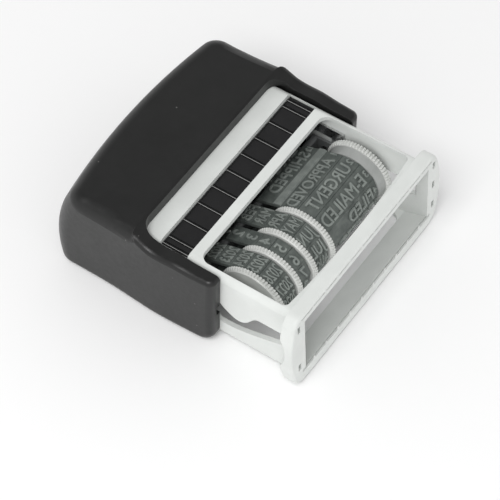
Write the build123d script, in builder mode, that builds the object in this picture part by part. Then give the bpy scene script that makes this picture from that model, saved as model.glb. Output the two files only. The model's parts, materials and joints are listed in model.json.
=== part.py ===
"""Self inking line dater stamp, lying on its back.

Frame: the origin is on the table under the middle of the object, +Z points up out of the band
window, +Y runs from the print end to the cap, and +X is the phrase band's end.
Heights written *_H are measured along +Y from the print plane, and X and depth from the middle.
Sizes are in millimetres.
"""
import os
from math import pi, sqrt

from build123d import *

os.makedirs("parts", exist_ok=True)

# Overall
LENGTH = 80.3                # print plane to the top of the crown
PRINT_Y = -LENGTH / 2        # the print plane in the row frame
MID_Z = 14.2                 # the plane that the carrier turns on
FRAME_W = 60.0
FRAME_DEPTH = 26.0
FRAME_TOP_H = 52.6
SIDE_WALL = 1.4
PANEL = 1.5                  # front and back panels
FRAME_FRONT_CORNER, FRAME_BACK_CORNER = 0.6, 2.2
FRAME_FRONT_Z = MID_Z + FRAME_DEPTH / 2
FRAME_BACK_Z = MID_Z - FRAME_DEPTH / 2
INNER_W = FRAME_W - 2 * SIDE_WALL
INNER_DEPTH = FRAME_DEPTH - 2 * PANEL

# Base flange
FLANGE_T = 3.8
FLANGE_HALF = 34.9           # middle of the bowed ends
FLANGE_SHOULDER = 32.2       # where the bow meets the long edges
FLANGE_FRONT_D, FLANGE_BACK_D = 14.6, -13.6
FLANGE_MID_D = (FLANGE_FRONT_D + FLANGE_BACK_D) / 2
FLANGE_CORNER = 4.0
RIM_ROUND = 0.9
ROOT_ROUND = 0.8
SCOOP_X, SCOOP_H, SCOOP_R = 41.0, 14.1, 13.45    # spherical hollows in the flange's ends
SCOOP_D = 2.0
SILL_DEPTH, SILL_H = 2.9, 7.0    # sloping sill inside the back of the opening
RIM_LINE_W, RIM_LINE_D = 0.4, (-9.5, -8.9, 13.5)  # fine grooves along the opening
RIM_DASH, RIM_DASH_PITCH, RIM_DASH_COUNT = 4.8, 5.5, 11
RIM_LINE_DEPTH = 0.4
CLIP_X, CLIP_D = 31.2, (-5.8, 2.6, 10.8)          # clip slots in the rim
CLIP_W, CLIP_LENGTH, CLIP_DEPTH = 1.1, 2.6, 2.0

# Windows in the panels
WINDOW_W = 56.6
WINDOW_LOW_H, WINDOW_LOW_END_H = 4.45, 5.85      # bowed lower edge: middle and ends
WINDOW_HIGH_H = 32.5
BACK_WINDOW_W = 53.6
BACK_WINDOW_LOW_H = 7.0
WINDOW_CORNER, WINDOW_LOW_CORNER = 2.8, 1.5
SLOT_W = 58.8
SLOT_LOW_H, SLOT_HIGH_H = 35.45, 44.0
SLOT_DEPTH = 3.6
BACK_SLOT_W = 54.8

# Motion
DIE_H = 38.0                 # face of the type at rest
STROKE = 17.8                # cap travel
PIVOT_H = (DIE_H + STROKE) / 2   # half a turn then puts the type on the print plane
CAM_R = 3.6                  # cam pin orbit
CAM_PIN_R = 0.9
RUN = 0.05                   # radial running clearance

# S-shaped cam tracks in the side walls: height and depth along each edge
TRACK_END_H = 3.6
TRACK_TOP_H = PIVOT_H + CAM_R + CAM_PIN_R + 0.3
TRACK_UPPER = [(25.6, 1.3), (22.3, -1.5), (19.4, -2.4), (16.9, -0.9), (14.6, 2.0), (12.4, 2.6)]
TRACK_LOWER = [(TRACK_END_H, -1.8), (13.0, -4.7), (19.0, -6.4), (26.0, -7.0)]
TRACK_HALF = 1.3

# Band wheels
WHEEL_H = 20.1
RING_R = 9.9
RING_T = 1.5
END_RING_T = 1.6             # the ring at the phrase wheel's outer end
END_SHOULDER, END_SHOULDER_R = 2.8, 8.8   # smooth shoulder between it and the phrase band
RING_CHAMFER = 0.3
DRUM_R = 7.7
AXLE_R = 1.5
WHEEL_GAP = 0.1
BAND_T = 1.55                # rubber and raised characters
BAND_IN_R = DRUM_R + RUN
BAND_EDGE_GAP = 0.15
# ring left faces, and where each wheel ends on its right
PHRASE_X = (-0.9, 27.0)
MONTH_X = (-9.05, -1.0)
DAY_X = (-15.75, -9.15)
YEAR_X = (-23.75, -15.85)

# Carrier
PLATE_IN_X, PLATE_T = 27.1, 0.7
PLATE_OUT_X = PLATE_IN_X + PLATE_T
PLATE_AXLE_R = 4.0
BRIDGE_H = 34.9              # centres of the bridge's two round corners
BRIDGE_CORNER_D = 1.4
BRIDGE_R = 1.5
BRIDGE_LOW_H = 33.9
BRIDGE_HALF = BRIDGE_CORNER_D + BRIDGE_R
PIVOT_R = 1.1

# Stirrup
LEG_IN_X, LEG_T = 27.9, 0.6
LEG_LOW_D, LEG_HIGH_D = 4.8, 8.4
LUG_R = 1.9
CROSSBAR_T = 1.0
CROSSBAR_H = 69.9
CROSSBAR_LOW_D, CROSSBAR_HIGH_D = -4.4, 8.4

# Cap
CAP_HALF = 33.4              # at the crown
# half width at heights down the side: the cap swells towards its arms
CAP_SIDE = [(33.7, 23.6), (34.0, 29.0), (34.35, 37.0), (34.45, 44.0), (34.1, 51.0), (33.7, 57.0), (33.5, 66.0),
            (CAP_HALF, LENGTH + 2)]
CAP_FRONT_Z = 30.8
ARM_FRONT_Z = FRAME_FRONT_Z + 0.2
ARM_LOW_H, ARM_LOW_BACK_H = 24.6, 26.2           # sloping arm ends, front and back
CAP_LIP_H = 49.5
CAP_STEP = [(44.4, 0.8), (37.0, 0.55), (30.0, 0.05)]   # the arm's rise above ARM_FRONT_Z
CROWN_BOW_R = 173.8          # crown's curve across the cap
CROWN_DEPTH_R = 42.8         # crown's curve from back to front
CROWN_D = -6.6               # its highest line
CROWN_CORNER = 5.1
RIM_CORNER = 3.7             # front rim of the crown
ARM_CORNER = 1.3
ARM_BACK_CORNER = 4.5
CAP_BACK_CORNER = 2.2
CAP_IN_HALF = FRAME_W / 2 + 0.2
CAP_BACK_WALL = 1.0
CAP_CEILING_H = CROSSBAR_H + CROSSBAR_T
CAP_FRONT_GAP = 0.2
CAP_FRONT_WALL = 1.9
CAP_LIP_RIB = 2.5
CUTOUT_CORNER = 4.0
POCKET_W, POCKET_DEPTH, POCKET_H = 44.0, 13.0, 4.0
BOSS_R = 3.2
NOTCH_LOW_D, NOTCH_HIGH_D = -2.6, 0.6
NOTCH_DEPTH = 3.0

# Cartridge, pad, springs
CART_W = 53.8
CART_FACE_W = 58.4
CART_LOW_H, CART_HIGH_H = 35.6, 43.9
CART_RECESS = 1.3            # face below the panel
CART_FACE_T = 1.2
CELL_PITCH = 6.4
CELL_COUNT = 9
FIN_T = 0.8
CELL_DEPTH = 1.0
BRIDGE_NOTCH_W, BRIDGE_NOTCH_H = 16.0, 1.8
PAD_W, PAD_DEPTH = 52.0, 17.0
PAD_LOW_H, PAD_HIGH_H = DIE_H + 0.1, 42.0
SEAT_LOW_H, SEAT_T = 44.4, 1.6
SPRING_X = 18.0
SPRING_R, SPRING_WIRE_R = 3.0, 0.35
SPRING_TURNS = 7
SCREW_X = 7.0
SCREW_R, SCREW_LENGTH = 1.0, 2.6
SCREW_HEAD_R, SCREW_HEAD_T = 1.9, 1.2


def up(h):
    """Row Y of a height above the print plane."""
    return PRINT_Y + h


def section(h):
    """Cross-section plane at a height: X across, depth upwards; extrude by a negative amount to go up."""
    return Plane(origin=(0, up(h), MID_Z), x_dir=(1, 0, 0), z_dir=(0, -1, 0))


def side(x):
    """Side-view plane at x: local x is height, local y is depth, extrude goes to +X."""
    return Plane(origin=(x, PRINT_Y, MID_Z), x_dir=(0, 1, 0), z_dir=(1, 0, 0))


def front(z):
    """Front-view plane at z: local x is X, local y is height, extrude goes to +Z."""
    return Plane(origin=(0, PRINT_Y, z), x_dir=(1, 0, 0), z_dir=(0, 0, 1))


def write(part, name):
    part.label = name
    export_step(part, f"parts/{name}.step")


# ---------------------------------------------------------------- frame body
with BuildPart() as frame_body:
    # bowed flange with a scoop in each end
    with BuildSketch(section(0)):
        with BuildLine():
            corners = [(sx * FLANGE_SHOULDER, d) for sx in (-1, 1) for d in (FLANGE_FRONT_D, FLANGE_BACK_D)]
            Line(corners[0], corners[2])
            ThreePointArc(corners[2], (FLANGE_HALF, FLANGE_MID_D), corners[3])
            Line(corners[3], corners[1])
            ThreePointArc(corners[1], (-FLANGE_HALF, FLANGE_MID_D), corners[0])
        make_face()
        fillet(vertices(), radius=FLANGE_CORNER)
    extrude(amount=-FLANGE_T)
    rim = frame_body.edges().filter_by_position(Axis.Y, up(0) - 0.01, up(0) + 0.01)
    fillet(rim, radius=RIM_ROUND)
    with Locations(*[(sx * SCOOP_X, up(SCOOP_H), MID_Z + SCOOP_D) for sx in (-1, 1)]):
        Sphere(SCOOP_R, mode=Mode.SUBTRACT)
    # four walls
    with BuildSketch(section(0)):
        Rectangle(FRAME_W, FRAME_DEPTH)
        fillet(vertices().group_by(Axis.Z)[0], radius=FRAME_BACK_CORNER)
        fillet(vertices().group_by(Axis.Z)[-1], radius=FRAME_FRONT_CORNER)
    extrude(amount=-FRAME_TOP_H)
    root = frame_body.edges().filter_by_position(Axis.Y, up(FLANGE_T) - 0.01, up(FLANGE_T) + 0.01)
    fillet([e for e in root if abs(e.center().X) < FRAME_W / 2 + 0.1 and e.bounding_box().size.X < 1], radius=ROOT_ROUND)
    with BuildSketch(section(0)):
        Rectangle(INNER_W, INNER_DEPTH)
    extrude(amount=-FRAME_TOP_H, mode=Mode.SUBTRACT)
    with BuildSketch(side(-INNER_W / 2)):
        with BuildLine():
            back_d = -INNER_DEPTH / 2
            Polyline((0, back_d), (SILL_H, back_d), (0, back_d + SILL_DEPTH), close=True)
        make_face()
    extrude(amount=INNER_W)
    # front window, back window and cartridge slot
    with BuildSketch(front(FRAME_FRONT_Z - PANEL)):
        with BuildLine():
            ThreePointArc((-WINDOW_W / 2, WINDOW_LOW_END_H), (0, WINDOW_LOW_H), (WINDOW_W / 2, WINDOW_LOW_END_H))
            Polyline((WINDOW_W / 2, WINDOW_LOW_END_H), (WINDOW_W / 2, WINDOW_HIGH_H),
                     (-WINDOW_W / 2, WINDOW_HIGH_H), (-WINDOW_W / 2, WINDOW_LOW_END_H))
        make_face()
        fillet(vertices().group_by(Axis.Y)[-1], radius=WINDOW_CORNER)
        fillet(vertices().group_by(Axis.Y)[0], radius=WINDOW_LOW_CORNER)
    extrude(amount=PANEL, mode=Mode.SUBTRACT)
    with BuildSketch(front(FRAME_BACK_Z)):
        with Locations((0, (BACK_WINDOW_LOW_H + WINDOW_HIGH_H) / 2)):
            RectangleRounded(BACK_WINDOW_W, WINDOW_HIGH_H - BACK_WINDOW_LOW_H, WINDOW_CORNER)
        with Locations((0, (SLOT_LOW_H + SLOT_HIGH_H) / 2)):
            Rectangle(BACK_SLOT_W, SLOT_HIGH_H - SLOT_LOW_H)
    extrude(amount=PANEL, mode=Mode.SUBTRACT)
    with BuildSketch(front(FRAME_FRONT_Z)):
        with Locations((0, (SLOT_LOW_H + SLOT_HIGH_H) / 2)):
            Rectangle(SLOT_W, SLOT_HIGH_H - SLOT_LOW_H)
    extrude(amount=-SLOT_DEPTH, mode=Mode.SUBTRACT)
    # S-shaped cam tracks through both side walls
    for wall_x in (-FRAME_W / 2, INNER_W / 2):
        with BuildSketch(side(wall_x)):
            with BuildLine():
                upper = Spline(*TRACK_UPPER)
                lower = Spline(*TRACK_LOWER)
                Polyline(upper @ 1, (TRACK_END_H, TRACK_UPPER[-1][1]), lower @ 0)
                Polyline(lower @ 1, (TRACK_TOP_H, -TRACK_HALF), (TRACK_TOP_H, TRACK_HALF), upper @ 0)
            make_face()
        extrude(amount=SIDE_WALL, mode=Mode.SUBTRACT)
    # fine broken grooves beside the opening, and the clip slots at the ends of the rim
    with BuildSketch(section(0)):
        for line_d in RIM_LINE_D:
            with Locations((0, line_d)):
                with GridLocations(RIM_DASH_PITCH, 1, RIM_DASH_COUNT, 1):
                    Rectangle(RIM_DASH, RIM_LINE_W)
    extrude(amount=-RIM_LINE_DEPTH, mode=Mode.SUBTRACT)
    clips = [(-CLIP_X, CLIP_D[0]), (-CLIP_X, CLIP_D[2])] + [(CLIP_X, d) for d in CLIP_D]
    with BuildSketch(section(0)):
        with Locations(*clips):
            Rectangle(CLIP_W, CLIP_LENGTH)
    extrude(amount=-CLIP_DEPTH, mode=Mode.SUBTRACT)
write(frame_body.part, "frame_body")

# ---------------------------------------------------------------- ink cartridge and pad
with BuildPart() as ink_cartridge:
    face_z = FRAME_FRONT_Z - CART_RECESS
    mid_h = (CART_LOW_H + CART_HIGH_H) / 2
    with BuildSketch(front(face_z - CART_FACE_T)):
        with Locations((0, mid_h)):
            Rectangle(CART_FACE_W, CART_HIGH_H - CART_LOW_H)
    extrude(amount=CART_FACE_T)
    with BuildSketch(front(FRAME_BACK_Z + CART_RECESS)):
        with Locations((0, mid_h)):
            Rectangle(CART_W, CART_HIGH_H - CART_LOW_H)
    extrude(amount=face_z - FRAME_BACK_Z - CART_RECESS - 0.5)
    # open cells between the upright fins of the face
    with BuildSketch(front(face_z)):
        with Locations((0, mid_h)):
            with GridLocations(CELL_PITCH, 1, CELL_COUNT - 1, 1):
                Rectangle(CELL_PITCH - FIN_T, CART_HIGH_H - CART_LOW_H - 1.2)
    extrude(amount=-CELL_DEPTH, mode=Mode.SUBTRACT)
    with BuildSketch(section(CART_LOW_H)):
        Rectangle(PAD_W + 0.2, PAD_DEPTH + 0.2)
    extrude(amount=-(PAD_HIGH_H + 0.1 - CART_LOW_H), mode=Mode.SUBTRACT)
    # notches in the end walls for the print bridge
    with BuildSketch(section(CART_LOW_H)):
        Rectangle(CART_W + 1, BRIDGE_NOTCH_W)
    extrude(amount=-BRIDGE_NOTCH_H, mode=Mode.SUBTRACT)
write(ink_cartridge.part, "ink_cartridge")

with BuildPart() as ink_pad:
    with BuildSketch(section(PAD_LOW_H)):
        Rectangle(PAD_W, PAD_DEPTH)
    extrude(amount=-(PAD_HIGH_H - PAD_LOW_H))
    fillet(ink_pad.edges().group_by(Axis.Y)[0], radius=0.5)
write(ink_pad.part, "ink_pad")

# ---------------------------------------------------------------- spring seat and springs
with BuildPart() as spring_seat:
    with BuildSketch(section(SEAT_LOW_H)):
        Rectangle(INNER_W, INNER_DEPTH)
        for sx in (-1, 1):
            with Locations((sx * (LEG_IN_X + 0.6), (LEG_LOW_D + LEG_HIGH_D) / 2)):
                Rectangle(1.8, LEG_HIGH_D - LEG_LOW_D + 0.6, mode=Mode.SUBTRACT)
    extrude(amount=-SEAT_T)
    with BuildSketch(section(SEAT_LOW_H + SEAT_T)):
        with Locations((-SPRING_X, 0), (SPRING_X, 0)):
            Circle(SPRING_R - SPRING_WIRE_R - 0.25)
    extrude(amount=-2.0)
write(spring_seat.part, "spring_seat")

SPRING_LOW_H = SEAT_LOW_H + SEAT_T
SPRING_LENGTH = CROSSBAR_H - SPRING_LOW_H


def make_spring(x, name):
    """Compression spring between the seat and the stirrup's crossbar."""
    length = SPRING_LENGTH - 2 * SPRING_WIRE_R - 0.02
    foot = (x, up(SPRING_LOW_H + SPRING_WIRE_R + 0.01), MID_Z)
    with BuildPart() as spring:
        with BuildLine() as path:
            coil = Helix(length / SPRING_TURNS, length, SPRING_R, center=foot, direction=(0, 1, 0))
        with BuildSketch(Plane(origin=coil @ 0, z_dir=coil % 0)):
            Circle(SPRING_WIRE_R)
        sweep(path=path.line, is_frenet=True)
    write(spring.part, name)


make_spring(-SPRING_X, "return_spring_left")
make_spring(SPRING_X, "return_spring_right")

# ---------------------------------------------------------------- cap
with BuildPart() as cap_shell:
    # side view of the cap and its arms
    arm_d, front_d = ARM_FRONT_Z - MID_Z, CAP_FRONT_Z - MID_Z
    with BuildSketch(side(-CAP_HALF - 2)):
        with BuildLine():
            Polyline((ARM_LOW_BACK_H, -MID_Z), (LENGTH + 2, -MID_Z), (LENGTH + 2, front_d), (CAP_LIP_H + 0.6, front_d))
            step = Spline((CAP_LIP_H + 0.6, front_d), *[(h, arm_d + rise) for h, rise in CAP_STEP],
                          tangents=((-1, -0.25), (-1, -0.02)))
            Polyline(step @ 1, (ARM_LOW_H, arm_d), (ARM_LOW_BACK_H, -MID_Z))
        make_face()
    extrude(amount=2 * CAP_HALF + 4)
    # front view: sides that swell towards the arms
    with BuildSketch(front(0)):
        with BuildLine():
            right = Spline(*CAP_SIDE)
            left = Spline(*[(-x, h) for x, h in CAP_SIDE])
            Line(right @ 1, left @ 1)
            Line(left @ 0, right @ 0)
        make_face()
    extrude(amount=CAP_FRONT_Z, mode=Mode.INTERSECT)
    # doubly curved crown, from a profile turned about a far axis
    low_d, high_d = -MID_Z - 2, front_d + 2
    centre_h, core_h = LENGTH - CROWN_DEPTH_R, LENGTH - 2 * CROWN_DEPTH_R
    with BuildSketch(side(0)):
        with BuildLine():
            arc_h = [centre_h + sqrt(CROWN_DEPTH_R**2 - (d - CROWN_D)**2) for d in (low_d, high_d)]
            ThreePointArc((arc_h[0], low_d), (LENGTH, CROWN_D), (arc_h[1], high_d))
            Polyline((arc_h[1], high_d), (core_h, high_d), (core_h, low_d), (arc_h[0], low_d))
        make_face()
    revolve(axis=Axis((0, up(LENGTH - CROWN_BOW_R), 0), (0, 0, 1)), mode=Mode.INTERSECT)
    # crown corners, front rim, arm tips with the back edges, then the fronts of the arms
    upper_edges = cap_shell.edges().filter_by(lambda e: e.center().Y > up(CROSSBAR_H))
    fillet(upper_edges.filter_by(lambda e: abs(e.center().X) > CAP_HALF - 1 and e.bounding_box().size.Z > MID_Z),
           radius=CROWN_CORNER)
    face = cap_shell.faces().filter_by(Axis.Z).sort_by(Axis.Z)[-1]
    fillet(face.edges().filter_by(lambda e: e.center().Y > up(CAP_LIP_H + 1)), radius=RIM_CORNER)
    tip = cap_shell.faces().filter_by(lambda f: f.normal_at().Y < -0.9).sort_by(Axis.Y)[0]
    fillet(tip.edges().sort_by(Axis.Z)[0], radius=ARM_BACK_CORNER)
    face = cap_shell.faces().filter_by(Axis.Z).sort_by(Axis.Z)[0]
    fillet(face.edges().filter_by(lambda e: e.center().Y > up(CAP_LIP_H)), radius=CAP_BACK_CORNER)
    fillet(cap_shell.edges().filter_by(lambda e: abs(e.center().X) > CAP_HALF and e.center().Y < up(CAP_LIP_H)
                                       and e.bounding_box().min.Z > ARM_FRONT_Z - 0.3), radius=ARM_CORNER)
    # hollow for the frame, open at the print end and between the arms
    with BuildSketch(section(ARM_LOW_H - 1)):
        with Locations((0, (CAP_BACK_WALL + FRAME_FRONT_Z + CAP_FRONT_GAP) / 2 - MID_Z)):
            Rectangle(2 * CAP_IN_HALF, FRAME_FRONT_Z + CAP_FRONT_GAP - CAP_BACK_WALL)
    extrude(amount=-(CAP_CEILING_H - ARM_LOW_H + 1), mode=Mode.SUBTRACT)
    with BuildSketch(front(0)):
        with Locations((0, (ARM_LOW_H - 1 + CAP_LIP_H) / 2)):
            Rectangle(2 * CAP_IN_HALF, CAP_LIP_H - ARM_LOW_H + 1)
        fillet(vertices().group_by(Axis.Y)[-1], radius=CUTOUT_CORNER)
    extrude(amount=CAP_FRONT_Z, mode=Mode.SUBTRACT)
    # lighter front wall behind its lip, and a pocket in the crown round the two screw bosses
    with BuildSketch(front(FRAME_FRONT_Z)):
        with Locations((0, (CAP_LIP_H + CAP_LIP_RIB + CAP_CEILING_H) / 2)):
            Rectangle(2 * CAP_IN_HALF - 4, CAP_CEILING_H - CAP_LIP_H - CAP_LIP_RIB)
    extrude(amount=CAP_FRONT_Z - CAP_FRONT_WALL - FRAME_FRONT_Z, mode=Mode.SUBTRACT)
    with BuildSketch(section(CAP_CEILING_H)):
        Rectangle(POCKET_W, POCKET_DEPTH)
        with Locations((-SCREW_X, 0), (SCREW_X, 0)):
            Circle(BOSS_R, mode=Mode.SUBTRACT)
    extrude(amount=-POCKET_H, mode=Mode.SUBTRACT)
    with BuildSketch(section(CAP_CEILING_H - 1)):
        with Locations((-SCREW_X, 0), (SCREW_X, 0)):
            Circle(SCREW_R + RUN)
    extrude(amount=-SCREW_LENGTH - 1, mode=Mode.SUBTRACT)
    # moulded notch in each arm's end
    for sx in (-1, 1):
        with BuildSketch(section(ARM_LOW_H - 1)):
            with Locations((sx * (CAP_IN_HALF + 0.5), (NOTCH_LOW_D + NOTCH_HIGH_D) / 2)):
                Rectangle(1.8, NOTCH_HIGH_D - NOTCH_LOW_D)
        extrude(amount=-NOTCH_DEPTH - 1, mode=Mode.SUBTRACT)
write(cap_shell.part, "cap_shell")

# ---------------------------------------------------------------- stirrup and its screws
with BuildPart() as cap_stirrup:
    with BuildSketch(section(CROSSBAR_H)):
        with Locations((0, (CROSSBAR_LOW_D + CROSSBAR_HIGH_D) / 2)):
            Rectangle(2 * (LEG_IN_X + LEG_T), CROSSBAR_HIGH_D - CROSSBAR_LOW_D)
        with Locations((-SCREW_X, 0), (SCREW_X, 0)):
            Circle(SCREW_R + RUN, mode=Mode.SUBTRACT)
    extrude(amount=-CROSSBAR_T)
    for leg_x in (-LEG_IN_X - LEG_T, LEG_IN_X):
        with BuildSketch(side(leg_x)):
            with Locations(((PIVOT_H - LUG_R + CROSSBAR_H) / 2, (LEG_LOW_D + LEG_HIGH_D) / 2)):
                Rectangle(CROSSBAR_H - PIVOT_H + LUG_R, LEG_HIGH_D - LEG_LOW_D)
            with Locations((PIVOT_H, LEG_LOW_D / 2)):
                Rectangle(2 * LUG_R, LEG_LOW_D)
            with Locations((PIVOT_H, 0)):
                Circle(LUG_R)
                Circle(PIVOT_R + RUN, mode=Mode.SUBTRACT)
        extrude(amount=LEG_T)
write(cap_stirrup.part, "cap_stirrup")

with BuildPart() as stirrup_screws:
    with BuildSketch(section(CROSSBAR_H - SCREW_HEAD_T)):
        with Locations((-SCREW_X, 0), (SCREW_X, 0)):
            Circle(SCREW_HEAD_R)
            Rectangle(2.4, 0.5, mode=Mode.SUBTRACT)
            Rectangle(0.5, 2.4, mode=Mode.SUBTRACT)
    extrude(amount=-SCREW_HEAD_T)
    with BuildSketch(section(CROSSBAR_H - SCREW_HEAD_T / 2)):
        with Locations((-SCREW_X, 0), (SCREW_X, 0)):
            Circle(SCREW_R + 0.9)
    extrude(amount=-SCREW_HEAD_T / 2)
    with BuildSketch(section(CROSSBAR_H)):
        with Locations((-SCREW_X, 0), (SCREW_X, 0)):
            Circle(SCREW_R)
    extrude(amount=-CROSSBAR_T - SCREW_LENGTH + 0.1)
write(stirrup_screws.part, "stirrup_screws")

# ---------------------------------------------------------------- carrier
CAM_PIN_H = PIVOT_H + CAM_R


def make_plate(x, name):
    """End plate that joins the wheel axle, the trunnion and the bridge."""
    with BuildPart() as plate:
        with BuildSketch(side(x)):
            with Locations((WHEEL_H, 0)):
                Circle(PLATE_AXLE_R)
            with Locations((BRIDGE_H, -BRIDGE_CORNER_D), (BRIDGE_H, BRIDGE_CORNER_D)):
                Circle(BRIDGE_R)
            make_hull()
            with Locations((WHEEL_H, 0)):
                Circle(AXLE_R + RUN, mode=Mode.SUBTRACT)
            with Locations((PIVOT_H, 0)):
                Circle(PIVOT_R + RUN, mode=Mode.SUBTRACT)
            with Locations((CAM_PIN_H, 0)):
                Circle(CAM_PIN_R + RUN, mode=Mode.SUBTRACT)
        extrude(amount=PLATE_T)
    write(plate.part, name)


make_plate(-PLATE_OUT_X, "carrier_plate_left")
make_plate(PLATE_IN_X, "carrier_plate_right")

with BuildPart() as print_bridge:
    with BuildSketch(side(-PLATE_IN_X)):
        with Locations((BRIDGE_H, -BRIDGE_CORNER_D), (BRIDGE_H, BRIDGE_CORNER_D)):
            Circle(BRIDGE_R)
        make_hull()
        with Locations((BRIDGE_LOW_H - 2, 0)):
            Rectangle(4, 3 * BRIDGE_HALF, mode=Mode.SUBTRACT)
    extrude(amount=2 * PLATE_IN_X)
write(print_bridge.part, "print_bridge")

with BuildPart() as wheel_axle:
    with BuildSketch(side(-PLATE_OUT_X)):
        with Locations((WHEEL_H, 0)):
            Circle(AXLE_R)
    extrude(amount=2 * PLATE_OUT_X)
write(wheel_axle.part, "wheel_axle")

with BuildPart() as axle_spacer:
    with BuildSketch(side(-PLATE_IN_X)):
        with Locations((WHEEL_H, 0)):
            Circle(AXLE_R + 1.6)
            Circle(AXLE_R + RUN, mode=Mode.SUBTRACT)
    extrude(amount=YEAR_X[0] - WHEEL_GAP + PLATE_IN_X)
write(axle_spacer.part, "axle_spacer")


def make_pins(height, radius, out_x, name):
    """A pair of pins that stand out of the two end plates on one line."""
    with BuildPart() as pins:
        for x in (-out_x, PLATE_IN_X):
            with BuildSketch(side(x)):
                with Locations((height, 0)):
                    Circle(radius)
            extrude(amount=out_x - PLATE_IN_X)
    write(pins.part, name)


make_pins(PIVOT_H, PIVOT_R, LEG_IN_X + LEG_T, "pivot_pins")
make_pins(CAM_PIN_H, CAM_PIN_R, FRAME_W / 2 - 0.1, "cam_pins")


# ---------------------------------------------------------------- wheels and bands
def make_wheel(x_low, x_high, rings, name):
    """Band wheel: a hollow drum with its rings, given as (left face, thickness, radius)."""
    with BuildPart() as wheel:
        with BuildSketch(side(x_low)):
            with Locations((WHEEL_H, 0)):
                Circle(DRUM_R)
        extrude(amount=x_high - x_low)
        for ring_x, ring_t, ring_r in rings:
            with BuildSketch(side(ring_x)):
                with Locations((WHEEL_H, 0)):
                    Circle(ring_r)
            extrude(amount=ring_t)
        rims = wheel.edges().filter_by(GeomType.CIRCLE).filter_by(lambda e: e.radius > RING_R - 0.01)
        chamfer(rims, length=RING_CHAMFER)
        with BuildSketch(side(x_high)):
            with Locations((WHEEL_H, 0)):
                Circle(DRUM_R - 0.9)
                Circle(AXLE_R + 1.4, mode=Mode.SUBTRACT)
        extrude(amount=-(x_high - x_low - RING_T), mode=Mode.SUBTRACT)
        with BuildSketch(side(x_low)):
            with Locations((WHEEL_H, 0)):
                Circle(AXLE_R + RUN)
        extrude(amount=x_high - x_low, mode=Mode.SUBTRACT)
    write(wheel.part, name)


def make_band(x_low, x_high, name):
    """Type band: a closed loop round the drum and over the bridge, as thick as its characters."""
    with BuildPart() as band:
        for thickness, mode in ((BAND_T, Mode.ADD), (0, Mode.SUBTRACT)):
            with BuildSketch(side(x_low)):
                with Locations((WHEEL_H, 0)):
                    Circle(BAND_IN_R + thickness)
                with Locations((BRIDGE_H, -BRIDGE_CORNER_D), (BRIDGE_H, BRIDGE_CORNER_D)):
                    Circle(BRIDGE_R + RUN + thickness)
                make_hull()
            extrude(amount=x_high - x_low, mode=mode)
    write(band.part, name)


for wheel_name, (low, high) in (("month", MONTH_X), ("day", DAY_X), ("year", YEAR_X)):
    make_wheel(low, high, [(low, RING_T, RING_R)], f"{wheel_name}_wheel")
    make_band(low + RING_T + BAND_EDGE_GAP, high - BAND_EDGE_GAP, f"{wheel_name}_band")

low, high = PHRASE_X
shoulder_x = high - END_RING_T - END_SHOULDER
end_rings = [(low, RING_T, RING_R), (shoulder_x, END_SHOULDER, END_SHOULDER_R), (high - END_RING_T, END_RING_T, RING_R)]
make_wheel(low, high, end_rings, "phrase_wheel")
make_band(low + RING_T + BAND_EDGE_GAP, shoulder_x - BAND_EDGE_GAP, "phrase_band")

print("stroke", STROKE, "pivot height", PIVOT_H, "turn per metre", pi / STROKE * 1000)
print("pivot at", 0, round(up(PIVOT_H), 3), MID_Z, "wheels at", round(up(WHEEL_H), 3))
print("spring from", round(up(SPRING_LOW_H), 3), "to", round(up(CROSSBAR_H), 3))
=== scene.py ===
import json
import math

import bmesh
import bpy
from mathutils import Matrix, Vector


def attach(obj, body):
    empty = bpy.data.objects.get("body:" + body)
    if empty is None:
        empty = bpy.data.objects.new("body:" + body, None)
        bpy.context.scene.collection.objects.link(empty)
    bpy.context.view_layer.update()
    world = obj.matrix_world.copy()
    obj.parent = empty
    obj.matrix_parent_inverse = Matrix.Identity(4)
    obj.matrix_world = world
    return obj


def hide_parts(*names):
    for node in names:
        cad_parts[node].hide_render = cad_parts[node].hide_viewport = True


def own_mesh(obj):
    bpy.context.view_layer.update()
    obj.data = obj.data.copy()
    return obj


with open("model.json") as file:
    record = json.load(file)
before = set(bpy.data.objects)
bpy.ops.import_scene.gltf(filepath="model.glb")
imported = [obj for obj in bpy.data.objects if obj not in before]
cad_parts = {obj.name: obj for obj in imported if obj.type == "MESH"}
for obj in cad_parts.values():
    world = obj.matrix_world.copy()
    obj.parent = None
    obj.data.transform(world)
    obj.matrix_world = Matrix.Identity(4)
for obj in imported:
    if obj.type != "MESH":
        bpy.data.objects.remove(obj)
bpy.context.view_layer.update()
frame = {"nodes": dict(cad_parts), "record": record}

nodes = frame["nodes"]
MM = 0.001

# ---------------------------------------------------------------- sizes, in millimetres
PRINT_Y = -40.15             # the print plane
MID_Z = 14.2                 # the plane through the wheels' axle
WHEEL_H = 20.1               # height of the axle above the print plane
RING_R = 9.9
RING_T, RING_CHAMFER = 1.5, 0.32
TOOTH_COUNT = 62
TOOTH_DEPTH = 0.62
DRUM_R = 7.7
WALL_IN_R = DRUM_R - 1.2
HUB_WALL = 1.4
AXLE_R = 1.55
BELT_IN_R = 7.8
BELT_OUT_R = 8.75
BRIDGE_H = 34.9
BRIDGE_CORNER_D = 1.4
BRIDGE_IN_R = 1.58
DIVIDER_W, DIVIDER_DEPTH = 0.16, 0.26
BAND_EDGE = 0.15             # gap from a band to the ring beside it
TYPE_LIFT = 0.27             # middle of a character above its facet
TYPE_HALF_T, TYPE_CHAMFER = 0.2, 0.08
TYPE_SQUEEZE = 0.86          # width of the type against the plain font
TYPE_MARGIN = 0.45           # clear rubber at each end of a line
FONT_CAP_SHARE = 0.73        # height of the font's capitals against its size
PLAIN_BAR = "="              # stands for a raised bar with no type on it
SPRING_X = 18.0
SPRING_LOW_H, SPRING_HIGH_H = 46.0, 69.9
SPRING_R, SPRING_WIRE_R = 3.0, 0.35
SPRING_TURNS, SPRING_CLOSING = 7, 0.035


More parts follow.
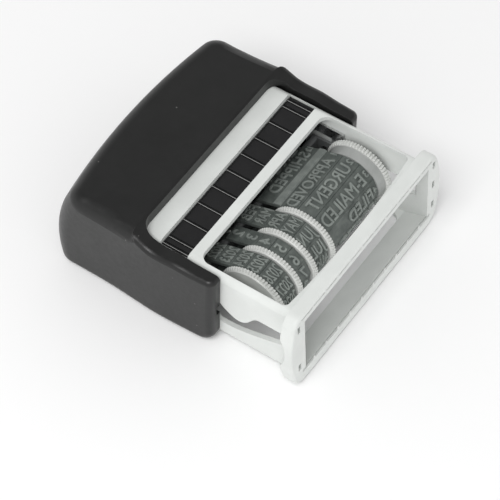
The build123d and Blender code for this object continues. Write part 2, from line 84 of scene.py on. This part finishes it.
# ---------------------------------------------------------------- camera
CAM_AZ, CAM_EL, CAM_ROLL = math.radians(-52.565), math.radians(53.946), math.radians(-3.135)
CAM_TARGET = Vector((-0.011294, -0.010984, 0.014))
CAM_DISTANCE = 0.6496
cam_data = bpy.data.cameras.new("camera")
cam_data.lens = 180
cam_data.sensor_width = 36
cam = bpy.data.objects.new("camera", cam_data)
bpy.context.scene.collection.objects.link(cam)
back = Vector((math.sin(CAM_AZ) * math.cos(CAM_EL), -math.cos(CAM_AZ) * math.cos(CAM_EL), math.sin(CAM_EL)))
level = Vector((0, 0, 1)).cross(back).normalized()
rise = back.cross(level)
right = math.cos(CAM_ROLL) * level + math.sin(CAM_ROLL) * rise
top = back.cross(right)
cam.matrix_world = (Matrix.Translation(CAM_TARGET + CAM_DISTANCE * back)
                    @ Matrix((right, top, back)).transposed().to_4x4())
bpy.context.scene.camera = cam


# ---------------------------------------------------------------- materials
class Shader:
    """A node material built round one Principled shader."""

    def __init__(self, name):
        self.mat = bpy.data.materials.new(name)
        self.mat.use_nodes = True
        self.tree = self.mat.node_tree
        self.bsdf = self.tree.nodes["Principled BSDF"]
        self.coords = self.tree.nodes.new("ShaderNodeTexCoord").outputs["Object"]

    def node(self, kind, **values):
        n = self.tree.nodes.new("ShaderNode" + kind)
        for key, value in values.items():
            if key in n.inputs:
                n.inputs[key].default_value = value
            else:
                setattr(n, key, value)
        return n

    def link(self, a, b):
        self.tree.links.new(a, b)

    def noise(self, scale, detail=3.0, rough=0.55):
        n = self.node("TexNoise", Scale=scale, Detail=detail, Roughness=rough)
        self.link(self.coords, n.inputs["Vector"])
        return n.outputs["Fac"]

    def span(self, value, low, high, to_low, to_high):
        n = self.node("MapRange")
        for k, v in (("From Min", low), ("From Max", high), ("To Min", to_low), ("To Max", to_high)):
            n.inputs[k].default_value = v
        self.link(value, n.inputs["Value"])
        return n.outputs["Result"]

    def mix(self, fac, a, b):
        n = self.node("Mix", data_type="RGBA")
        for value, socket in ((a, n.inputs[6]), (b, n.inputs[7])):
            if isinstance(value, tuple):
                socket.default_value = (*value, 1)
            else:
                self.link(value, socket)
        if isinstance(fac, (int, float)):
            n.inputs[0].default_value = fac
        else:
            self.link(fac, n.inputs[0])
        return n.outputs[2]

    def bump(self, value, distance, strength=1.0):
        n = self.node("Bump", Distance=distance, Strength=strength)
        self.link(value, n.inputs["Height"])
        old = self.bsdf.inputs["Normal"]
        if old.is_linked:
            self.link(old.links[0].from_socket, n.inputs["Normal"])
        self.link(n.outputs["Normal"], old)

    def edges(self, radius):
        n = self.node("Bevel", Radius=radius)
        self.link(n.outputs["Normal"], self.bsdf.inputs["Normal"])

    def set(self, name, value):
        socket = self.bsdf.inputs[name]
        if isinstance(value, tuple):
            socket.default_value = (*value, 1)
        elif isinstance(value, (int, float)):
            socket.default_value = value
        else:
            self.link(value, socket)


def plastic(name, dark, light, rough, grain, grain_depth, mottle=140.0, spec=0.5, edge=0.0):
    """Moulded plastic: a slow mottle in its colour, a finer one in its gloss, and a fine grain."""
    s = Shader(name)
    if edge:
        s.edges(edge)
    s.set("Base Color", s.mix(s.span(s.noise(mottle, 4.0), 0.35, 0.65, 0.0, 1.0), dark, light))
    s.set("Roughness", s.span(s.noise(mottle * 5, 2.0), 0.3, 0.7, rough[0], rough[1]))
    s.set("Specular IOR Level", spec)
    s.bump(s.noise(grain, 2.0), grain_depth)
    return s


frame_grey = plastic("frame_grey", (0.655, 0.675, 0.655), (0.695, 0.715, 0.695), (0.34, 0.46),
                     5200.0, 0.000006, edge=0.00018).mat
cap_s = plastic("cap_black", (0.0040, 0.0042, 0.0040), (0.0060, 0.0062, 0.0060), (0.33, 0.40),
                4200.0, 0.000010, spec=0.46, edge=0.0002)
cartridge_black = plastic("cartridge_black", (0.004, 0.004, 0.0045), (0.007, 0.007, 0.0075), (0.16, 0.26),
                          2600.0, 0.000004, edge=0.00008).mat
# painted highlight: a lighter grey copy of the black cartridge plastic, for the bright line on the left fin of
# each pair
fin_painted_highlight = plastic("fin_painted_highlight", (0.30, 0.30, 0.29), (0.42, 0.42, 0.41), (0.2, 0.3), 2600.0, 0.000002).mat
wheel_white = plastic("wheel_white", (0.53, 0.54, 0.52), (0.62, 0.63, 0.61), (0.36, 0.48),
                      5000.0, 0.000004).mat
# painted shade: a darker copy of the wheel plastic, for the shade on the phrase wheel's smooth shoulder
wheel_shoulder = plastic("wheel_shoulder", (0.26, 0.27, 0.26), (0.34, 0.35, 0.34), (0.3, 0.42),
                         5000.0, 0.000004).mat
plate_grey = plastic("plate_grey", (0.10, 0.105, 0.105), (0.14, 0.145, 0.145), (0.45, 0.6),
                     4000.0, 0.000008).mat

# dust specks on the cap
specks = cap_s.node("TexVoronoi", Scale=620.0)
cap_s.link(cap_s.coords, specks.inputs["Vector"])
chosen = cap_s.span(specks.outputs["Color"], 0.88, 0.90, 0.0, 1.0)
close = cap_s.span(specks.outputs["Distance"], 0.08, 0.16, 1.0, 0.0)
both = cap_s.node("Math", operation="MULTIPLY")
cap_s.link(chosen, both.inputs[0])
cap_s.link(close, both.inputs[1])
under = cap_s.bsdf.inputs["Base Color"].links[0].from_socket
cap_s.set("Base Color", cap_s.mix(both.outputs[0], under, (0.13, 0.13, 0.125)))
cap_black = cap_s.mat


def rubber(name, dark, light):
    """Cured rubber with a cloudy colour and a dry, faintly pitted surface."""
    s = Shader(name)
    s.set("Base Color", s.mix(s.span(s.noise(420.0, 5.0), 0.38, 0.66, 0.0, 1.0), dark, light))
    s.set("Roughness", s.span(s.noise(900.0), 0.3, 0.7, 0.5, 0.68))
    s.bump(s.noise(3800.0), 0.00002)
    return s.mat


# the band and its type are one rubber: the band is painted darker as painted shade between the letters, the
# type lighter as painted light on its raised tops
band_rubber = rubber("band_rubber", (0.075, 0.087, 0.080), (0.115, 0.130, 0.120))
type_rubber_painted_light = rubber("type_rubber_painted_light", (0.175, 0.194, 0.182), (0.235, 0.258, 0.240))

steel_s = Shader("plated_steel")
steel_s.set("Metallic", 1.0)
steel_s.set("Base Color", steel_s.mix(steel_s.noise(300.0), (0.50, 0.51, 0.52), (0.62, 0.62, 0.61)))
steel_s.set("Roughness", steel_s.span(steel_s.noise(1500.0), 0.3, 0.7, 0.22, 0.4))
steel_s.bump(steel_s.noise(5000.0), 0.000004)
plated_steel = steel_s.mat

felt_s = Shader("pad_felt")
felt_s.set("Base Color", felt_s.mix(felt_s.noise(1800.0, 5.0), (0.012, 0.012, 0.015), (0.035, 0.035, 0.04)))
felt_s.set("Roughness", felt_s.span(felt_s.noise(900.0), 0.3, 0.7, 0.75, 0.95))
felt_s.bump(felt_s.noise(4200.0, 4.0), 0.00012)
pad_felt = felt_s.mat

floor_s = Shader("floor_white")
floor_s.set("Base Color", floor_s.mix(floor_s.noise(6.0), (0.93, 0.93, 0.93), (0.94, 0.94, 0.94)))
floor_s.set("Roughness", 0.9)
floor_s.set("Specular IOR Level", 0.1)

by_slot = {"frame_grey": frame_grey, "cap_black": cap_black, "cartridge_black": cartridge_black,
           "pad_felt": pad_felt, "wheel_white": wheel_white, "plate_grey": plate_grey,
           "band_rubber": band_rubber, "plated_steel": plated_steel, "spring_steel": plated_steel}
for part in frame["record"]["subparts"]:
    data = nodes[part["node"]].data
    data.materials.clear()
    data.materials.append(by_slot[part["material_slot"]])


# ---------------------------------------------------------------- mesh helpers
def piece(name, verts, faces, material, body, slot, replaced=(), smooth_deg=35.0):
    """A mesh object from points in millimetres, riding on a body."""
    mesh = bpy.data.meshes.new(name)
    mesh.from_pydata([Vector(v) * MM for v in verts], [], faces)
    mesh.validate()
    mesh.materials.append(material)
    obj = bpy.data.objects.new(name, mesh)
    bpy.context.scene.collection.objects.link(obj)
    bm = bmesh.new()
    bm.from_mesh(mesh)
    bmesh.ops.remove_doubles(bm, verts=bm.verts, dist=0.000002)
    bmesh.ops.recalc_face_normals(bm, faces=bm.faces)
    for f in bm.faces:
        f.smooth = True
    for e in bm.edges:
        e.smooth = len(e.link_faces) == 2 and e.calc_face_angle(0.0) < math.radians(smooth_deg)
    bm.to_mesh(mesh)
    bm.free()
    if replaced:
        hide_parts(*replaced)
    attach(obj, body)
    return obj


def row(x, h, d):
    """A point at x, height h above the print plane and depth d from the wheels' plane, in row millimetres."""
    return (x, PRINT_Y + h, MID_Z + d)


# ---------------------------------------------------------------- band wheels
def revolve(profile, steps, radius_of=None):
    """Verts and faces of a closed profile of (x, radius) turned about the axle."""
    verts, faces = [], []
    n = len(profile)
    for k in range(steps):
        a = 2 * math.pi * k / steps
        for i, (x, r) in enumerate(profile):
            rr = radius_of(i, k, r) if radius_of else r
            verts.append(row(x, WHEEL_H + rr * math.cos(a), rr * math.sin(a)))
    for k in range(steps):
        k2 = (k + 1) % steps
        for i in range(n):
            j = (i + 1) % n
            faces.append((k * n + i, k * n + j, k2 * n + j, k2 * n + i))
    return verts, faces


TOOTH_STEPS = 8
TOOTH_SHAPE = (1.0, 0.97, 0.8, 0.3, 0.0, 0.3, 0.8, 0.97)


def ring(x_low, x_high, shoulder=0.0):
    """A knurled ring; a shoulder leaves its left part smooth and lower."""
    left = x_low + shoulder
    profile = [(x_low, WALL_IN_R), (x_low, RING_R - 0.75)]
    if shoulder:
        profile += [(x_low + 0.12, RING_R - 0.68), (left - 0.05, RING_R - 0.58)]
    # x, radius and the share of the tooth depth that is cut there
    toothed = [(left, RING_R - 0.55, 0.1), (left + RING_CHAMFER, RING_R - 0.03, 1.0),
               (x_high - 0.15, RING_R, 1.0), (x_high, RING_R - 0.12, 0.9)]
    first = len(profile)
    share = {first + i: t[2] for i, t in enumerate(toothed)}
    profile += [t[:2] for t in toothed] + [(x_high, WALL_IN_R)]

    def radius_of(i, k, r):
        if i in share:
            return r - TOOTH_DEPTH * share[i] * (1 - TOOTH_SHAPE[k % TOOTH_STEPS])
        return r

    return revolve(profile, TOOTH_COUNT * TOOTH_STEPS, radius_of)


def drum(x_low, x_high):
    """Hollow drum with a hub and a web at its left end, which its ring covers."""
    web = x_low + RING_T
    profile = [(x_low, AXLE_R), (x_low, WALL_IN_R), (x_low + 0.02, DRUM_R), (x_high, DRUM_R),
               (x_high, DRUM_R - 0.9), (web, DRUM_R - 0.9), (web, AXLE_R + HUB_WALL),
               (x_high, AXLE_R + HUB_WALL), (x_high, AXLE_R)]
    return revolve(profile, 96)


def joined(*shapes):
    """Verts and faces of several shapes as one."""
    verts, faces = [], []
    for v, f in shapes:
        base = len(verts)
        verts += v
        faces += [tuple(i + base for i in q) for q in f]
    return verts, faces


def shoulder_ring(x_low, x_high, radius):
    """A smooth rounded shoulder beside a ring."""
    profile = [(x_low, WALL_IN_R), (x_low, radius - 0.35), (x_low + 0.1, radius - 0.12),
               (x_low + 0.35, radius), (x_high - 0.4, radius + 0.12), (x_high, radius + 0.3),
               (x_high, WALL_IN_R)]
    return revolve(profile, 192)


WHEELS = {"phrase": (-0.9, 27.0), "month": (-9.05, -1.0), "day": (-15.75, -9.15), "year": (-23.75, -15.85)}
RING_SHOULDER = 0.45
END_RING_T = 1.6
END_SHOULDER, END_SHOULDER_R = 2.8, 8.8
for who, (low, high) in WHEELS.items():
    shapes = [drum(low, high), ring(low, low + RING_T, RING_SHOULDER)]
    if who == "phrase":
        shapes.append(ring(high - END_RING_T, high))
    white_faces = sum(len(faces) for _, faces in shapes)
    if who == "phrase":
        shapes.append(shoulder_ring(high - END_RING_T - END_SHOULDER, high - END_RING_T, END_SHOULDER_R))
    wheel = piece(f"{who}_knurled_wheel", *joined(*shapes), wheel_white, f"{who}_wheel", "wheel_white",
                  (f"{who}_wheel",), 30.0)
    # the shoulder faces get the darker copy of the wheel plastic, a painted shade
    wheel.data.materials.append(wheel_shoulder)
    for f in wheel.data.polygons:
        f.material_index = int(f.index >= white_faces)


# ---------------------------------------------------------------- type bands
def loop_points(radius, corner_r):
    """A taut loop round the wheel and the bridge: where a length along it lies, and its whole length."""
    h0, d0, r0 = WHEEL_H, 0.0, radius
    h1, d1, r1 = BRIDGE_H, BRIDGE_CORNER_D, corner_r
    gap = math.hypot(h1 - h0, d1 - d0)
    lean = math.atan2(d1 - d0, h1 - h0)
    a = lean + math.acos((r0 - r1) / gap)      # angle of the front tangent points, from +h towards +d
    bottom = [(h0 + r0 * math.cos(t), d0 + r0 * math.sin(t))
              for t in (a + (2 * math.pi - 2 * a) * k / 300 for k in range(301))]
    back_corner = [(h1 + r1 * math.cos(t), -d1 + r1 * math.sin(t))
                   for t in (-a + a * k / 60 for k in range(61))]
    front_corner = [(h1 + r1 * math.cos(t), d1 + r1 * math.sin(t))
                    for t in (a * k / 60 for k in range(61))]
    path = bottom + back_corner + front_corner
    path.append(path[0])
    steps = [0.0]
    for p, q in zip(path, path[1:]):
        steps.append(steps[-1] + math.hypot(q[0] - p[0], q[1] - p[1]))
    total = steps[-1]

    def at(s):
        s %= total
        lo, hi = 0, len(steps) - 1
        while hi - lo > 1:
            m = (lo + hi) // 2
            if steps[m] <= s:
                lo = m
            else:
                hi = m
        t = (s - steps[lo]) / max(steps[hi] - steps[lo], 1e-9)
        p, q = path[lo], path[hi]
        return (p[0] + t * (q[0] - p[0]), p[1] + t * (q[1] - p[1]))

    return at, total


type_cache = {}


def letters(text, height):
    """Verts and faces of a raised line of type, from the origin along +x."""
    key = (text, height)
    if key in type_cache:
        return type_cache[key]
    curve = bpy.data.curves.new("type", "FONT")
    curve.body = text
    curve.size = height / FONT_CAP_SHARE
    curve.extrude = TYPE_HALF_T
    curve.bevel_depth = TYPE_CHAMFER
    curve.bevel_resolution = 0
    curve.resolution_u = 3
    obj = bpy.data.objects.new("type", curve)
    bpy.context.scene.collection.objects.link(obj)
    bpy.context.view_layer.update()
    mesh = obj.evaluated_get(bpy.context.evaluated_depsgraph_get()).to_mesh()
    verts = [tuple(v.co) for v in mesh.vertices]
    faces = [tuple(p.vertices) for p in mesh.polygons]
    obj.evaluated_get(bpy.context.evaluated_depsgraph_get()).to_mesh_clear()
    bpy.data.objects.remove(obj)
    bpy.data.curves.remove(curve)
    type_cache[key] = (verts, faces)
    return type_cache[key]


def extent(verts):
    """Lowest x and width of some verts."""
    low = min(v[0] for v in verts)
    return low, max(v[0] for v in verts) - low


def cell_axes(p, q):
    """Middle of a facet, its unit vector from q to p, and its outward unit vector, as (height, depth)."""
    mid = (p + q) / 2
    along = (p - q).normalized()
    out = Vector((-along.y, along.x))
    return mid, along, (-out if out.dot(mid - Vector((WHEEL_H, 0.0))) < 0 else out)


def band(who, x_low, x_high, rows, start, height, index=False):
    """A type band of facets with dividers between, one for each mirrored line, from the divider at start on."""
    at, total = loop_points(BELT_OUT_R, BRIDGE_IN_R + BELT_OUT_R - BELT_IN_R)
    inner, inner_total = loop_points(BELT_IN_R, BRIDGE_IN_R)
    count = len(rows)
    shares = [0.5 if index and text == PLAIN_BAR else 1.0 for text in rows]
    pitch = total / sum(shares)
    marks = [Vector(at(start + pitch * sum(shares[:k]))) for k in range(count)]
    cells = [(p, q, *cell_axes(p, q)) for p, q in zip(marks, marks[1:] + marks[:1])]
    outline = []
    for p, q, _, along, out in cells:
        outline += [p - out * DIVIDER_DEPTH, p - along * DIVIDER_W, q + along * DIVIDER_W]
    n = len(outline)
    inside = [Vector(inner(inner_total * k / n + start * inner_total / total)) for k in range(n)]
    verts, faces = [], []
    for x in (x_low, x_high):
        verts += [row(x, p.x, p.y) for p in outline] + [row(x, p.x, p.y) for p in inside]
    for k in range(n):
        j = (k + 1) % n
        faces += [(k, j, 2 * n + j, 2 * n + k), (n + k, 3 * n + k, 3 * n + j, n + j),
                  (k, n + k, n + j, j), (2 * n + k, 2 * n + j, 3 * n + j, 3 * n + k)]
    parts = [(verts, faces)]
    base_faces = len(faces)
    words = [r for r in rows if r != PLAIN_BAR]

    def plain_bar(p, q, mid, along, out):
        bar = []
        for x in (x_low, x_high):
            for s, e in ((-0.47, -0.05), (-0.40, 0.45), (0.40, 0.45), (0.47, -0.05)):
                c = mid + along * (s * (p - q).length) + out * e
                bar.append(row(x, c.x, c.y))
        parts.append((bar, [(0, 1, 5, 4), (1, 2, 6, 5), (2, 3, 7, 6), (3, 0, 4, 7),
                            (0, 3, 2, 1), (4, 5, 6, 7)]))

    def line(text, size, x_start, limit, squeeze, mid, along, out):
        """Mirrored type on a facet: it starts at x_start and runs towards -x, within a width limit."""
        shape, quads = letters(text, size)
        x0, wide = extent(shape)
        scale = min(squeeze, limit / wide)
        new = []
        for cx, cy, cz in shape:
            c = mid + along * (cy - size / 2) + out * (cz + TYPE_LIFT)
            new.append(row(x_start - (cx - x0) * scale, c.x, c.y))
        parts.append((new, quads))

    for text, (p, q, *axes) in zip(rows, cells):
        if text == PLAIN_BAR:
            plain_bar(p, q, *axes)
        elif text and index:
            line(str((words.index(text) + 1) % len(words) + 1), height * 0.55, x_high - 0.5, 1.5, 0.9, *axes)
            line(text, height, x_high - 2.5, x_high - 2.5 - x_low - 0.5, TYPE_SQUEEZE, *axes)
        elif text:
            limit = x_high - x_low - 2 * TYPE_MARGIN
            wide = extent(letters(text, height)[0])[1]
            scale = min(TYPE_SQUEEZE, limit / wide)
            line(text, height, (x_low + x_high) / 2 + wide * scale / 2, limit, TYPE_SQUEEZE, *axes)
    obj = piece(f"{who}_type_band", *joined(*parts), band_rubber, "carrier", "band_rubber",
                (f"{who}_band",), 40.0)
    # the raised type, plain bars and index numerals get the lighter rubber, painted light on their tops
    obj.data.materials.append(type_rubber_painted_light)
    for f in obj.data.polygons:
        f.material_index = int(f.index >= base_faces)


WORDS = ["URGENT", "E-MAILED", "FILED", "POSTED", "PAID", "CHECKED", PLAIN_BAR, "COPIED", "SENT", "SIGNED",
         "DRAFT", "SHIPPED", PLAIN_BAR, "APPROVED"]
MONTHS = ["MAY", "JUN", "JUL", "AUG", "SEP", "OCT", "NOV", "DEC", PLAIN_BAR, "", "",
          "JAN", "FEB", "MAR", "APR"]
DAYS = ["5", "6", "7", "8", "9", "10", "11", "12", "13", "14", "15", "1", "2", "3", "4"]
YEARS = [str(2025 + k) for k in range(11)] + ["2021", "2022", "2023", "2024"]
CHAR_H = {"phrase": 3.7, "month": 3.5, "day": 3.5, "year": 3.5}
FIRST_DIVIDER = {"phrase": 0.5, "month": 0.0, "day": 1.6, "year": -0.4}
for who, rows in (("phrase", WORDS), ("month", MONTHS), ("day", DAYS), ("year", YEARS)):
    low, high = WHEELS[who]
    if who == "phrase":
        high -= END_RING_T + END_SHOULDER
    band(who, low + RING_T + BAND_EDGE, high - BAND_EDGE, rows, FIRST_DIVIDER[who], CHAR_H[who],
         who == "phrase")


# ---------------------------------------------------------------- ink cartridge and pad
def box(x0, x1, h0, h1, z0, z1):
    """Verts and faces of a block between heights h0 and h1 and row z0 and z1."""
    verts = [(x, PRINT_Y + h, z) for x in (x0, x1) for h in (h0, h1) for z in (z0, z1)]
    return verts, [(0, 1, 3, 2), (4, 6, 7, 5), (0, 4, 5, 1), (2, 3, 7, 6), (0, 2, 6, 4), (1, 5, 7, 3)]


CART_H0, CART_H1 = 35.6, 43.9
CART_HALF, FACE_HALF = 26.9, 29.2
FACE_Z, FACE_T, CART_BACK_Z = 25.9, 1.2, 2.5
FACE_BACK_Z = FACE_Z - FACE_T
PAD_H0, PAD_H1, PAD_HALF, PAD_Z0, PAD_Z1 = 38.1, 42.0, 26.0, 5.7, 22.7
PAD_GAP = 0.1
NOTCH_TOP_H, NOTCH_Z0, NOTCH_Z1 = 37.4, 6.2, 22.2
CELL_PITCH, CELL_COUNT = 6.4, 8
END_FIN_X = 28.0
FIN_GAP, FIN_W, FIN_H, FIN_ROOT = 0.8, 0.13, 0.3, 0.05
FOOT_HALF, FOOT_INSET, FOOT_H = 3.5, 2.4, 0.5
FIN_Z0 = FACE_Z - FIN_H - FIN_ROOT
pad_in, pad_top = PAD_HALF + PAD_GAP, PAD_H1 + PAD_GAP
blocks = [box(-FACE_HALF, FACE_HALF, CART_H0, CART_H1, FACE_BACK_Z, FACE_Z - FIN_H),
          box(-CART_HALF, CART_HALF, pad_top, CART_H1, CART_BACK_Z, FACE_BACK_Z),
          box(-pad_in, pad_in, CART_H0, pad_top, CART_BACK_Z, PAD_Z0 - PAD_GAP),
          box(-pad_in, pad_in, CART_H0, pad_top, PAD_Z1 + PAD_GAP, FACE_BACK_Z)]
for x in (-CART_HALF, pad_in):
    wall = (x, x + CART_HALF - PAD_HALF - PAD_GAP)
    blocks.append(box(*wall, NOTCH_TOP_H, pad_top, CART_BACK_Z, FACE_BACK_Z))
    blocks.append(box(*wall, CART_H0, NOTCH_TOP_H, CART_BACK_Z, NOTCH_Z0))
    blocks.append(box(*wall, CART_H0, NOTCH_TOP_H, NOTCH_Z1, FACE_BACK_Z))
lit_from = len(blocks)
fins = [CELL_PITCH * (k - CELL_COUNT / 2) for k in range(CELL_COUNT + 1)] + [-END_FIN_X, END_FIN_X]
for x in fins:
    for side in (-1, 1):
        c = x + side * FIN_GAP / 2
        blocks.append(box(c - FIN_W / 2, c + FIN_W / 2, CART_H0 + 0.1, CART_H1 - 0.1, FIN_Z0, FACE_Z))
for h in (CART_H0 + 0.1, CART_H1 - 0.35):
    blocks.append(box(-FACE_HALF, FACE_HALF, h, h + 0.25, FIN_Z0, FACE_Z - 0.12))
for x in (-18.0, -6.0, 6.0, 18.0):
    blocks.append(box(x - FOOT_HALF, x + FOOT_HALF, CART_H0 + FOOT_INSET, CART_H1 - FOOT_INSET,
                      CART_BACK_Z - FOOT_H, CART_BACK_Z + 0.1))
cartridge = piece("cartridge_body", *joined(*blocks), cartridge_black, "frame", "cartridge_black",
                  ("ink_cartridge",))
# the top faces of the left fins get the lighter grey, a painted highlight
cartridge.data.materials.append(fin_painted_highlight)
for f in cartridge.data.polygons:
    fin = f.index // 6 - lit_from             # six faces to a block; the top of the left fin of each pair is painted lighter grey, a painted highlight
    if 0 <= fin < 2 * len(fins) and fin % 2 == 0 and f.normal.z > 0.9:
        f.material_index = 1

PAD_NX, PAD_NZ, PAD_ROUND = 60, 24, 0.5
pad_verts, pad_faces = [], []
for layer, h in enumerate((PAD_H0, PAD_H1)):
    for i in range(PAD_NX + 1):
        for j in range(PAD_NZ + 1):
            x = -PAD_HALF + 2 * PAD_HALF * i / PAD_NX
            z = PAD_Z0 + (PAD_Z1 - PAD_Z0) * j / PAD_NZ
            edge = min(i, PAD_NX - i, j, PAD_NZ - j)
            sag = PAD_ROUND * max(0.0, 1 - edge / 1.5) ** 2
            sag += 0.05 * (1 + math.sin(x * 1.9) * math.sin(z * 2.3))
            pad_verts.append((x, PRINT_Y + h + (sag if layer == 0 else 0.0), z))
    base = layer * (PAD_NX + 1) * (PAD_NZ + 1)
    for i in range(PAD_NX):
        for j in range(PAD_NZ):
            a = base + i * (PAD_NZ + 1) + j
            pad_faces.append((a, a + 1, a + PAD_NZ + 2, a + PAD_NZ + 1))
per = (PAD_NX + 1) * (PAD_NZ + 1)
rim = [i * (PAD_NZ + 1) for i in range(PAD_NX)] + [PAD_NX * (PAD_NZ + 1) + j for j in range(PAD_NZ)]
rim += [i * (PAD_NZ + 1) + PAD_NZ for i in range(PAD_NX, 0, -1)] + [j for j in range(PAD_NZ, 0, -1)]
for a, b in zip(rim, rim[1:] + rim[:1]):
    pad_faces.append((a, b, b + per, a + per))
pad = piece("felt_ink_pad", pad_verts, pad_faces, pad_felt, "frame", "pad_felt", ("ink_pad",), 60.0)


# ---------------------------------------------------------------- return springs
def coil(name, x, node):
    """A coil spring with closed, ground ends."""
    ring_n, per_turn = 10, 28
    steps = SPRING_TURNS * per_turn
    length = SPRING_HIGH_H - SPRING_LOW_H - 2 * SPRING_WIRE_R
    verts, faces = [], []
    for k in range(steps + 1):
        t = k / steps
        eased = t - SPRING_CLOSING * math.sin(4 * math.pi * t)
        a = 2 * math.pi * SPRING_TURNS * t
        h = SPRING_LOW_H + SPRING_WIRE_R + length * min(max(eased, 0.0), 1.0)
        for i in range(ring_n):
            b = 2 * math.pi * i / ring_n
            r = SPRING_R + SPRING_WIRE_R * math.cos(b)
            verts.append((x + r * math.cos(a), PRINT_Y + h + SPRING_WIRE_R * math.sin(b),
                          MID_Z + r * math.sin(a)))
    for k in range(steps):
        for i in range(ring_n):
            j = (i + 1) % ring_n
            faces.append((k * ring_n + i, k * ring_n + j, (k + 1) * ring_n + j, (k + 1) * ring_n + i))
    faces += [tuple(range(ring_n)), tuple(steps * ring_n + i for i in range(ring_n))]
    obj = piece(name, verts, faces, plated_steel, "frame", "spring_steel", (node,))
    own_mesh(obj)


coil("return_coil_left", -SPRING_X, "return_spring_left")
coil("return_coil_right", SPRING_X, "return_spring_right")

# ---------------------------------------------------------------- floor, light
bpy.ops.mesh.primitive_plane_add(size=6)
floor = bpy.context.object
floor.name = "floor"
floor.data.materials.append(floor_s.mat)

world = bpy.data.worlds.new("studio")
bpy.context.scene.world = world
world.use_nodes = True
tree = world.node_tree
coords = tree.nodes.new("ShaderNodeTexCoord")
split = tree.nodes.new("ShaderNodeSeparateXYZ")
ramp = tree.nodes.new("ShaderNodeValToRGB")
tree.links.new(coords.outputs["Generated"], split.inputs[0])
tree.links.new(split.outputs["Z"], ramp.inputs[0])
# place on the ramp and brightness: a white room with a dimmer ceiling
HORIZON, ZENITH = (0.24, 1.14), (0.75, 0.42)
for stop, (place, level_of) in zip(ramp.color_ramp.elements, (HORIZON, ZENITH)):
    stop.position = place
    stop.color = (level_of, level_of, level_of, 1)
tree.links.new(ramp.outputs[0], tree.nodes["Background"].inputs[0])
tree.nodes["Background"].inputs[1].default_value = 1.0


def area(name, place, energy, size, aim=(0.0, 0.0, 0.0)):
    light = bpy.data.lights.new(name, "AREA")
    light.energy = energy
    light.size = size
    obj = bpy.data.objects.new(name, light)
    obj.location = place
    obj.rotation_euler = (Vector(place) - Vector(aim)).to_track_quat("Z", "Y").to_euler()
    bpy.context.scene.collection.objects.link(obj)


area("key", (-0.45, -0.1, 0.8), 4.8, 0.5)
bpy.context.scene.view_settings.view_transform = "Standard"
